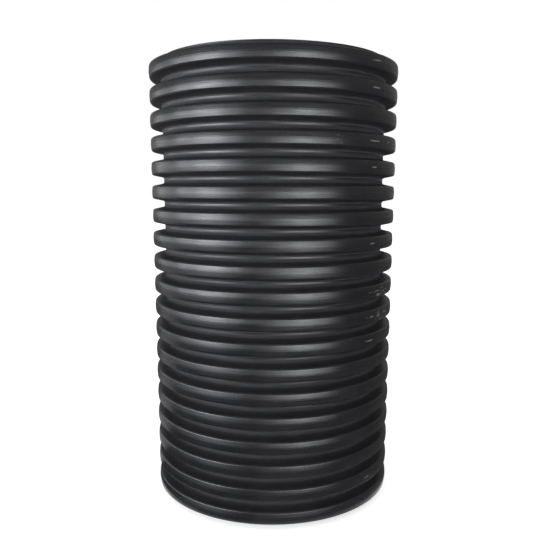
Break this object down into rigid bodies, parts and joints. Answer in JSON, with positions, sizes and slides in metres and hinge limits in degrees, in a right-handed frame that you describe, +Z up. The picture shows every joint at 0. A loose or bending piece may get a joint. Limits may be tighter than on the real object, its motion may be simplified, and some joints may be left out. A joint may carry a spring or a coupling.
{
  "type": "plastic access chamber riser",
  "caption": "Upright corrugated twin-wall pipe with a smooth bore and square-cut ends, stacked on a chamber base to raise its cover to ground level.",
  "frame": {"origin": "centre of the bore at the foot, on the surface the riser stands on", "axes": "+Z up along the bore axis; the part is round, so X and Y have no front"},
  "size_m": [0.3399, 0.34, 0.6004],
  "materials": {
    "black_plastic": "satin black polyethylene, moulded, lightly scuffed"
  },
  "bodies": {
    "root": {"riser": "black_plastic"}
  },
  "joints": []
}
